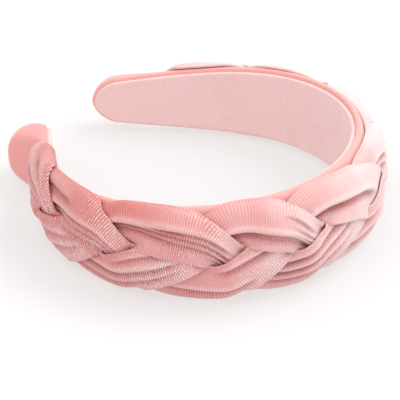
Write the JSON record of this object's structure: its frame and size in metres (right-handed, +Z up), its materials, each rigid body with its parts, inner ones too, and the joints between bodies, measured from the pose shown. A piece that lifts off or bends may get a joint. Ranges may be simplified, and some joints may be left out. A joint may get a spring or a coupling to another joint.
{
  "type": "padded braided headband",
  "caption": "Padded headband lying on its side: a velvet band bent to fit a head, plaited over with wide folded velvet strands and lined inside with soft suede.",
  "frame": {"origin": "middle of the bounding box in plan, on the surface that the headband lies on", "axes": "+Z up from the surface, along the band's width; +X from the two tips towards the crown; Y from the near arm to the far arm"},
  "size_m": [0.1524, 0.1456, 0.0418],
  "materials": {
    "band_velvet": "soft stretch velvet, coral pink",
    "lining_suede": "matt suede, dusty pink",
    "plait_velvet": "finely ribbed stretch velvet, coral pink"
  },
  "bodies": {
    "root": {"padded_band": "band_velvet", "lining": "lining_suede", "strand_1": "plait_velvet", "strand_2": "plait_velvet", "strand_3": "plait_velvet"}
  },
  "joints": []
}
